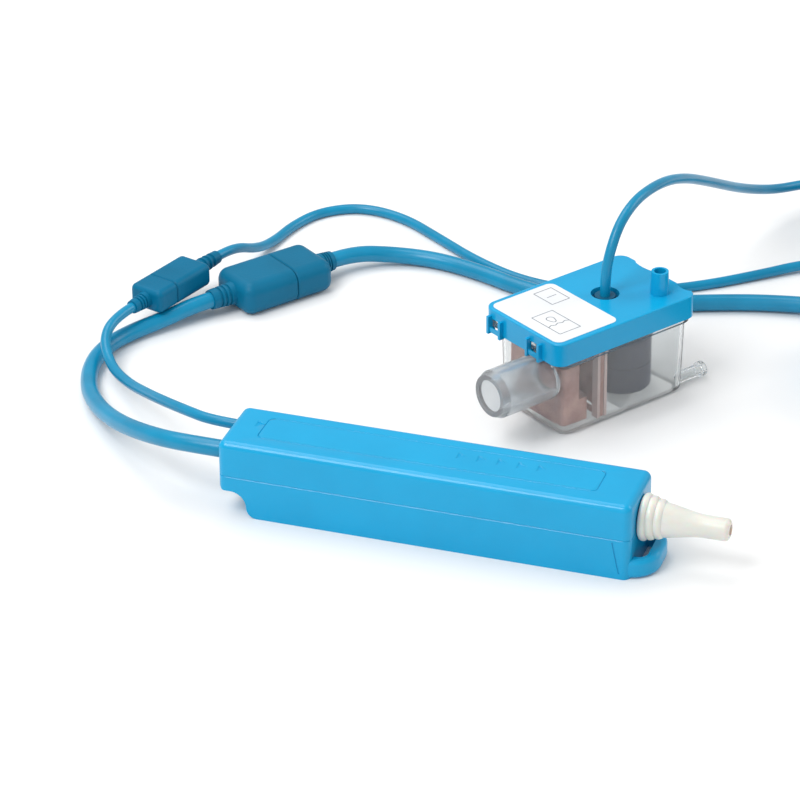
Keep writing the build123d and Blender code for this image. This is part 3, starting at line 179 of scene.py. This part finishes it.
materialOf = {
    "case": ["base_shell", "top_cover", "lid"],
    "silicone": ["discharge_adaptor", "suction_hose"],
    "clear": ["tank", "float_stem"],
    "spigot": ["drain_spigot"],
    "label": ["lid_label"],
    "float": ["water_float"],
    "magnet": ["float_magnet"],
    "filter": ["inlet_filter", "baffle"],
    "guide": ["baffle_guides"],
    "housing": ["sensor_housing", "lead_gland"],
    "plugTeal": ["power_plug", "power_socket"],
    "plugDark": ["signal_plug", "signal_socket"],
    "tie": ["supply_tie", "reservoir_tie"],
    "rubber": ["cylinder_seal", "rear_mount", "front_mount", "power_gland", "signal_gland", "lid_seal"],
    "nylon": ["coil_bobbin"],
    "copper": ["coil_winding"],
    "steel": ["guide_tube", "yoke", "piston", "board_screws", "power_pins", "signal_pins"],
    "spring": ["main_spring", "buffer_spring", "inlet_valve_spring", "outlet_valve_spring"],
    "valve": ["inlet_valve", "outlet_valve"],
    "acetal": ["inlet_spigot", "inlet_housing", "pump_cylinder", "outlet_spigot", "valve_retainer"],
    "board": ["circuit_board"],
    "component": ["capacitor", "relay"],
    "lead": ["power_lead", "signal_lead", "supply_lead", "supply_lead_end", "supply_coil",
             "reservoir_lead_near", "reservoir_coil", "reservoir_lead_far"],
    "cores": ["supply_cores"],
}
for key, names in materialOf.items():
    for name in names:
        nodes[name].data.materials.clear()
        nodes[name].data.materials.append(materials[key])
print("materials done")


# flow arrows engraved in the cover; the spreads say how far each corner moves as the walls open out
flowArrows = {
    "start": 8.2,
    "pitch": 7.5,
    "count": 5,
    "length": 3.2,
    "half": 2.1,
    "y": 2.7,
    "lone": -68.4,
    "depth": 0.5,
    "slope": 0.15,
    "sideSpread": 1.6,
    "tipSpread": 1.9,
    "above": 1.0,
}


def smoothShade(mesh, angle=30.0):
    for polygon in mesh.polygons:
        polygon.use_smooth = True
    mesh.set_sharp_from_angle(angle=math.radians(angle))


# the corners of an engraved triangle pointing along +X: its floor, then its wider mouth
def arrowPrism(x, top):
    a = flowArrows
    mouthGrow = a["slope"] * (a["depth"] + a["above"]) / a["depth"]
    corners = []
    for z, grow in ((top - a["depth"], 0.0), (top + a["above"], mouthGrow)):
        corners += [
            (x - grow, a["y"] + a["half"] + a["sideSpread"] * grow, z),
            (x - grow, a["y"] - a["half"] - a["sideSpread"] * grow, z),
            (x + a["length"] + a["tipSpread"] * grow, a["y"], z),
        ]
    return [(cx * mm, cy * mm, cz * mm) for cx, cy, cz in corners]


arrowFaces = ((0, 1, 2), (5, 4, 3), (0, 3, 4, 1), (1, 4, 5, 2), (2, 5, 3, 0))
vertices = []
faces = []
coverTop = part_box("top_cover")[1][2] / mm
arrowPlaces = [flowArrows["start"] + k * flowArrows["pitch"] for k in range(flowArrows["count"])]
for place in [*arrowPlaces, flowArrows["lone"]]:
    first = len(vertices)
    vertices += arrowPrism(place, coverTop)
    for face in arrowFaces:
        faces.append(tuple(first + k for k in reversed(face)))
cutterMesh = bpy.data.meshes.new("arrowCutter")
cutterMesh.from_pydata(vertices, [], faces)
cutter = bpy.data.objects.new("arrowCutter", cutterMesh)
scene.collection.objects.link(cutter)
cover = bpy.data.objects.new("topCoverEngraved", nodes["top_cover"].data.copy())
scene.collection.objects.link(cover)
carve = cover.modifiers.new("arrows", "BOOLEAN")
carve.operation = "DIFFERENCE"
carve.solver = "EXACT"
carve.object = cutter
bpy.context.view_layer.update()
carved = bpy.data.meshes.new_from_object(cover.evaluated_get(bpy.context.evaluated_depsgraph_get()))
cover.modifiers.clear()
cover.data = carved
bpy.data.objects.remove(cutter)
smoothShade(carved)
even = cover.modifiers.new("evenNormals", "WEIGHTED_NORMAL")
even.mode = "FACE_AREA"
even.weight = 100
even.keep_sharp = True
print("cover", len(nodes["top_cover"].data.polygons), "->", len(carved.polygons))
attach(cover, "root")
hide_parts("top_cover")

# springs, copied as loose pieces; each is listed with the two bodies it stands between
springs = [
    ("main_spring", "piston", "root"),
    ("buffer_spring", "root", "piston"),
    ("inlet_valve_spring", "inlet_valve", "piston"),
    ("outlet_valve_spring", "outlet_valve", "root"),
]
for name, first, second in springs:
    piece = bpy.data.objects.new(name + "Live", nodes[name].data.copy())
    scene.collection.objects.link(piece)
    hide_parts(name)
    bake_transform(piece)
print("cover and springs done")


# label ink: a box with a water line and a drop in it, and a small box with a bar
labelInk = {"width": 0.35, "lift": 0.03, "dropSteps": 24, "dropPoint": 0.8, "dropSharpness": 6}


# flat strips of ink along runs of points in the reservoir's own plan
def inkPiece(name, runs):
    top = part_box("lid_label")[1][2] + labelInk["lift"] * mm
    yaw = math.radians(reservoir["yaw"])
    vertices = []
    faces = []
    for run in runs:
        for (x0, y0), (x1, y1) in zip(run, run[1:]):
            span = math.hypot(x1 - x0, y1 - y0)
            wx = -(y1 - y0) / span * labelInk["width"] / 2
            wy = (x1 - x0) / span * labelInk["width"] / 2
            first = len(vertices)
            for x, y in ((x0 + wx, y0 + wy), (x0 - wx, y0 - wy), (x1 - wx, y1 - wy), (x1 + wx, y1 + wy)):
                vertices.append((
                    (reservoir["x"] + x * math.cos(yaw) - y * math.sin(yaw)) * mm,
                    (reservoir["y"] + x * math.sin(yaw) + y * math.cos(yaw)) * mm,
                    top,
                ))
            faces.append((first, first + 1, first + 2, first + 3))
    mesh = bpy.data.meshes.new(name)
    mesh.from_pydata(vertices, [], faces)
    piece = bpy.data.objects.new(name, mesh)
    scene.collection.objects.link(piece)
    mesh.materials.append(materials["ink"])
    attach(piece, "lid")


def inkRectangle(x0, y0, x1, y1):
    return [(x0, y0), (x1, y0), (x1, y1), (x0, y1), (x0, y0)]


def inkDrop(x, y, size):
    points = []
    for k in range(labelInk["dropSteps"] + 1):
        a = math.radians(-90 + 360 / labelInk["dropSteps"] * k)
        reach = size * (1 + labelInk["dropPoint"] * max(0.0, -math.sin(a)) ** labelInk["dropSharpness"])
        points.append((x + reach * math.cos(a), y + reach * math.sin(a)))
    return points


labelRuns = [
    inkRectangle(-27.5, -14.5, -17.5, 2.0),
    [(-27.5, -8.0), (-25.8, -7.2), (-24.2, -8.0), (-22.5, -7.2), (-20.8, -8.0), (-19.2, -7.2), (-17.5, -8.0)],
    inkDrop(-22.5, -3.0, 1.6),
    inkRectangle(-14.5, 5.5, -6.0, 16.5),
    [(-12.5, 11.0), (-8.0, 11.0)],
]
inkPiece("labelInk", labelRuns)
print("label done")


# leads: angle is the way its connector points in plan, and farEnd how far along it the lead beyond starts
powerLead = {"diameter": 6.6, "angle": 53.9, "plug": (-135.3, 128.7, 7.0), "farEnd": 58.3}
signalLead = {"diameter": 4.0, "angle": 72.5, "plug": (-157.4, 101.5, 13.8), "farEnd": 53.3}

# coils: arrive and travel are degrees, way is 1 for anticlockwise, and slots are (column, layer) in order
supplyCoil = {
    "centre": (145.0, 162.0),
    "middle": 36.0,
    "diameter": 6.6,
    "lift": 1.0,
    "arrive": 90.0,
    "way": -1,
    "travel": 1860.0,
    "slots": [(1, 0), (0, 0), (0, 1), (1, 1), (1, 2), (0, 2)],
}
reservoirCoil = {
    "centre": (104.0, 272.0),
    "middle": 22.0,
    "diameter": 4.0,
    "lift": 1.0,
    "arrive": -90.0,
    "way": 1,
    "travel": 2340.0,
    "slots": [(1, 0), (0, 0), (0, 1), (1, 1), (1, 2), (0, 2), (0, 3), (1, 3)],
}
coilSteps = 36
slotTurn = 300.0
slotChange = 60.0

# the supply lead's end, tucked inside its coil and coming down to the floor
tuck = {
    "inward": 30.0,
    "radius": 27.0,
    "step": 12.5,
    "heights": (17.5, 17.5, 17.4, 17.0, 16.2, 15.1, 13.7, 12.0, 9.4, 7.0, 5.2, 3.9),
}
cordRoundness = 6
cordSteps = 10
insideCase = 4.0


def onFrame(spec, along):  # a point along a connector's axis
    a = math.radians(spec["angle"])
    x, y, z = spec["plug"]
    return (x + along * math.cos(a), y + along * math.sin(a), z)


# points of a coil's turns; a change of slot takes 60 degrees and one comes every 300 degrees
def coilTurns(coil):
    d = coil["diameter"]
    slots = coil["slots"]
    stepAngle = 360 / coilSteps
    points = []
    for k in range(int(coil["travel"] / stepAngle) + 1):
        travelled = k * 360 / coilSteps
        position = (travelled - slotTurn) / slotTurn
        index = max(0, min(int(math.floor(position)) + 1, len(slots) - 1))
        before = slots[max(index - 1, 0)]
        after = slots[index]
        share = 1.0
        if index > 0:
            share = min((travelled - slotTurn * index) / slotChange, 1.0)
        share = share * share * (3 - 2 * share)
        column = before[0] + (after[0] - before[0]) * share
        layer = before[1] + (after[1] - before[1]) * share
        radius = coil["middle"] + (column - 0.5) * d
        angle = math.radians(coil["arrive"] + coil["way"] * travelled)
        points.append((
            coil["centre"][0] + radius * math.cos(angle),
            coil["centre"][1] + radius * math.sin(angle),
            coil["lift"] + d * (layer + 0.5),
        ))
    return points


# a free lead as a bevelled NURBS curve of one open spline
def cordCurve(name, points, diameter, material):
    data = bpy.data.curves.new(name, "CURVE")
    data.dimensions = "3D"
    data.bevel_depth = diameter * mm / 2
    data.bevel_resolution = cordRoundness
    data.use_fill_caps = True
    spline = data.splines.new("NURBS")
    spline.points.add(len(points) - 1)
    for place, point in zip(spline.points, points):
        place.co = (point[0] * mm, point[1] * mm, point[2] * mm, 1.0)
    spline.order_u = 3
    spline.use_endpoint_u = True
    spline.resolution_u = cordSteps
    piece = bpy.data.objects.new(name, data)
    scene.collection.objects.link(piece)
    data.materials.append(material)
    return piece


# the points that a curve follows, in metres, and its length
def centreline(piece):
    depth = piece.data.bevel_depth
    piece.data.bevel_depth = 0.0
    piece.data.use_fill_caps = False
    bpy.context.view_layer.update()
    mesh = bpy.data.meshes.new_from_object(piece.evaluated_get(bpy.context.evaluated_depsgraph_get()))
    points = [tuple(v.co) for v in mesh.vertices]
    bpy.data.meshes.remove(mesh)
    piece.data.bevel_depth = depth
    piece.data.use_fill_caps = True
    bpy.context.view_layer.update()
    length = sum((Vector(b) - Vector(a)).length for a, b in zip(points, points[1:]))
    return points, length


insideX = -case["length"] / 2 + insideCase
powerRoute = [
    (insideX, -7.2, 22.6),
    (-88.0, -7.2, 22.6),
    (-102.5, -3.4, 20.6),
    (-117.0, 6.4, 16.2),
    (-131.5, 19.7, 10.8),
    (-145.5, 35.7, 6.2),
    (-156.5, 52.5, 3.6),
    (-162.8, 71.0, 3.4),
    (-162.6, 87.5, 3.4),
    (-156.8, 100.6, 3.8),
    (-149.0, 111.0, 4.7),
    onFrame(powerLead, -8.5),
    onFrame(powerLead, 0.0),
]
signalRoute = [
    (insideX, 8.5, 24.3),
    (-88.0, 8.5, 24.3),
    (-102.0, 16.5, 22.2),
    (-115.5, 28.0, 17.8),
    (-128.0, 41.0, 12.4),
    (-140.5, 54.0, 7.6),
    (-152.5, 66.5, 6.2),
    (-160.6, 79.0, 10.6),
    onFrame(signalLead, -11.0),
    onFrame(signalLead, 0.0),
]
supplyRoute = [
    onFrame(powerLead, powerLead["farEnd"]),
    onFrame(powerLead, powerLead["farEnd"] + 11.0),
    (-81.5, 193.5, 4.4),
    (-64.0, 196.5, 3.4),
    (-43.5, 191.5, 3.4),
    (-21.0, 182.0, 3.4),
    (3.0, 178.0, 3.4),
    (27.0, 183.5, 3.4),
    (50.0, 193.0, 3.4),
    (73.0, 200.0, 3.6),
    (98.0, 202.8, 4.3),
    (121.0, 202.1, 4.3),
]
reservoirRoute = [
    onFrame(signalLead, signalLead["farEnd"]),
    onFrame(signalLead, signalLead["farEnd"] + 11.0),
    (-134.6, 180.5, 5.0),
    (-132.4, 195.0, 2.0),
    (-130.0, 210.5, 2.0),
    (-123.5, 226.0, 2.0),
    (-108.5, 235.5, 2.0),
    (-88.5, 231.5, 2.0),
    (-68.5, 217.5, 2.0),
    (-47.5, 202.5, 2.0),
    (-24.5, 191.5, 2.0),
    (0.0, 189.5, 2.0),
    (23.0, 196.5, 2.0),
    (45.0, 209.5, 2.0),
    (64.0, 225.0, 2.2),
    (80.0, 238.5, 3.0),
    (93.0, 244.8, 3.0),
]
reservoirFar = [
    (95.0, 297.6, 15.0),
    (81.0, 297.8, 14.0),
    (68.0, 290.0, 13.6),
    (59.0, 275.5, 16.5),
    (53.5, 258.5, 23.5),
    (50.0, 241.0, 32.0),
    (47.5, 223.0, 41.5),
    (45.2, 205.0, 51.0),
    (43.0, 187.0, 60.0),
    (40.5, 169.5, 67.0),
    (38.0, 152.5, 71.0),
    (35.2, 138.0, 71.5),
    (32.6, 127.0, 67.0),
    (31.0, 120.4, 58.5),
    (30.06, 117.71, 49.9),
    (30.06, 117.71, 39.3),
]
supplyTurns = coilTurns(supplyCoil)
reservoirTurns = coilTurns(reservoirCoil)
inward = math.radians(tuck["inward"])
tuckReach = supplyCoil["middle"] - supplyCoil["diameter"] / 2 - tuck["radius"]
tuckCentre = (
    supplyCoil["centre"][0] + tuckReach * math.cos(inward),
    supplyCoil["centre"][1] + tuckReach * math.sin(inward),
)
supplyTuck = []
for k, height in enumerate(tuck["heights"]):
    turn = math.radians(tuck["step"] * (k + 1))
    supplyTuck.append((
        tuckCentre[0] + tuck["radius"] * math.cos(inward - turn),
        tuckCentre[1] + tuck["radius"] * math.sin(inward - turn),
        height,
    ))

leads = [
    ("powerLead", powerRoute, powerLead["diameter"], ["power_lead"], "connector", "medium", ["power_plug"]),
    ("signalLead", signalRoute, signalLead["diameter"], ["signal_lead"], "connector", "limp",
     ["signal_plug"]),
    ("supplyLead", supplyRoute + supplyTurns + supplyTuck, supplyCoil["diameter"],
     ["supply_lead", "supply_coil", "supply_lead_end"], "bare", "medium", ["supply_cores", "supply_tie"]),
    ("reservoirLead", reservoirRoute + reservoirTurns + reservoirFar, reservoirCoil["diameter"],
     ["reservoir_lead_near", "reservoir_coil", "reservoir_lead_far"], "object", "limp", ["reservoir_tie"]),
]
for name, points, diameter, replaced, farEnd, stiffness, extras in leads:
    piece = cordCurve(name, points, diameter, materials["lead"])
    path, length = centreline(piece)
    print(name, "length", round(length, 3))
    if name == "reservoirLead":  # made a mesh, with its transform baked in
        mesh = bpy.data.meshes.new_from_object(piece.evaluated_get(bpy.context.evaluated_depsgraph_get()))
        tube = bpy.data.objects.new(name + "Tube", mesh)
        scene.collection.objects.link(tube)
        bpy.data.objects.remove(piece)
        for polygon in mesh.polygons:
            polygon.use_smooth = True
        piece = tube
        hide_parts(*replaced)
        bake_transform(piece)
    else:
        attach(piece, "root")
        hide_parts(*replaced)
print("cords done")


# stage: pale floor and background, camera and soft lights
floorPaint = {"size": 12.0, "grey": 0.86, "rough": 0.9, "specular": 0.1}
sky = {"ambient": 0.5, "seen": 1.0}
camera = {
    "focalPixels": 3979.8,
    "azimuth": 18.73,
    "elevation": 28.95,
    "roll": -0.46,
    "position": (386.1, -1175.4, 736.7),
    "sensor": 36.0,
    "clipEnd": 50.0,
}


def stageMaterial():
    material = bpy.data.materials.new("paleFloorPaint")
    material.use_nodes = True
    tree = material.node_tree
    tree.nodes.clear()
    grey = floorPaint["grey"]
    shader = addNode(tree, "ShaderNodeBsdfPrincipled", {
        "Base Color": (grey, grey, grey, 1.0),
        "Roughness": floorPaint["rough"],
        "Specular IOR Level": floorPaint["specular"],
    })
    output = addNode(tree, "ShaderNodeOutputMaterial")
    tree.links.new(shader.outputs["BSDF"], output.inputs["Surface"])
    return material


half = floorPaint["size"]
floorMesh = bpy.data.meshes.new("floor")
corners = [(-half, -half, 0), (half, -half, 0), (half, half, 0), (-half, half, 0)]
floorMesh.from_pydata(corners, [], [(0, 1, 2, 3)])
floor = bpy.data.objects.new("floor", floorMesh)
scene.collection.objects.link(floor)
floorMesh.materials.append(stageMaterial())

world = bpy.data.worlds.new("studio")
scene.world = world
world.use_nodes = True
tree = world.node_tree
tree.nodes.clear()
rays = addNode(tree, "ShaderNodeLightPath")
seen = addNode(tree, "ShaderNodeMath", {
    0: rays.outputs["Is Camera Ray"],
    1: rays.outputs["Is Transmission Ray"],
}, operation="MAXIMUM")
ambient = addNode(tree, "ShaderNodeBackground", {"Color": (1, 1, 1, 1), "Strength": sky["ambient"]})
pale = addNode(tree, "ShaderNodeBackground", {"Color": (1, 1, 1, 1), "Strength": sky["seen"]})
both = addNode(tree, "ShaderNodeMixShader", {0: seen.outputs[0], 1: ambient.outputs[0], 2: pale.outputs[0]})
addNode(tree, "ShaderNodeOutputWorld", {0: both.outputs[0]})

az = math.radians(camera["azimuth"])
el = math.radians(camera["elevation"])
roll = math.radians(camera["roll"])
back = Vector((math.sin(az) * math.cos(el), -math.cos(az) * math.cos(el), math.sin(el)))
right = Vector((0, 0, 1)).cross(back).normalized()
up = back.cross(right)
axisX = right * math.cos(roll) + up * math.sin(roll)
axisY = -right * math.sin(roll) + up * math.cos(roll)
cameraData = bpy.data.cameras.new("camera")
cameraData.sensor_width = camera["sensor"]
cameraData.lens = camera["focalPixels"] * cameraData.sensor_width / imageSize
cameraData.clip_end = camera["clipEnd"]
cameraObject = bpy.data.objects.new("camera", cameraData)
scene.collection.objects.link(cameraObject)
cameraObject.matrix_world = Matrix((
    (axisX.x, axisY.x, back.x, camera["position"][0] * mm),
    (axisX.y, axisY.y, back.y, camera["position"][1] * mm),
    (axisX.z, axisY.z, back.z, camera["position"][2] * mm),
    (0, 0, 0, 1),
))
scene.camera = cameraObject

# each light has its place, what it points at, its size, all in metres, its power in watts and its colour
lights = [
    ("keyLight", (-0.55, 0.35, 1.35), (0.0, 0.08, 0.0), 1.1, 10.0, (1.0, 0.99, 0.97)),
    ("fillLight", (0.2, -1.5, 0.9), (0.0, 0.05, 0.02), 1.6, 4.0, (0.97, 0.99, 1.0)),
    ("edgeLight", (-0.5, -0.75, 1.25), (-0.03, 0.04, 0.02), 0.7, 12.0, (1.0, 1.0, 1.0)),
    ("rimLight", (1.1, 0.9, 0.8), (0.0, 0.08, 0.0), 0.8, 5.0, (1.0, 1.0, 1.0)),
]
for name, place, target, size, power, colour in lights:
    data = bpy.data.lights.new(name, "AREA")
    data.size = size
    data.energy = power
    data.color = colour
    lamp = bpy.data.objects.new(name, data)
    scene.collection.objects.link(lamp)
    lamp.location = place
    lamp.rotation_euler = (Vector(place) - Vector(target)).to_track_quat("Z", "Y").to_euler()

scene.view_settings.view_transform = "Standard"
scene.view_settings.look = "None"
print("stage done")
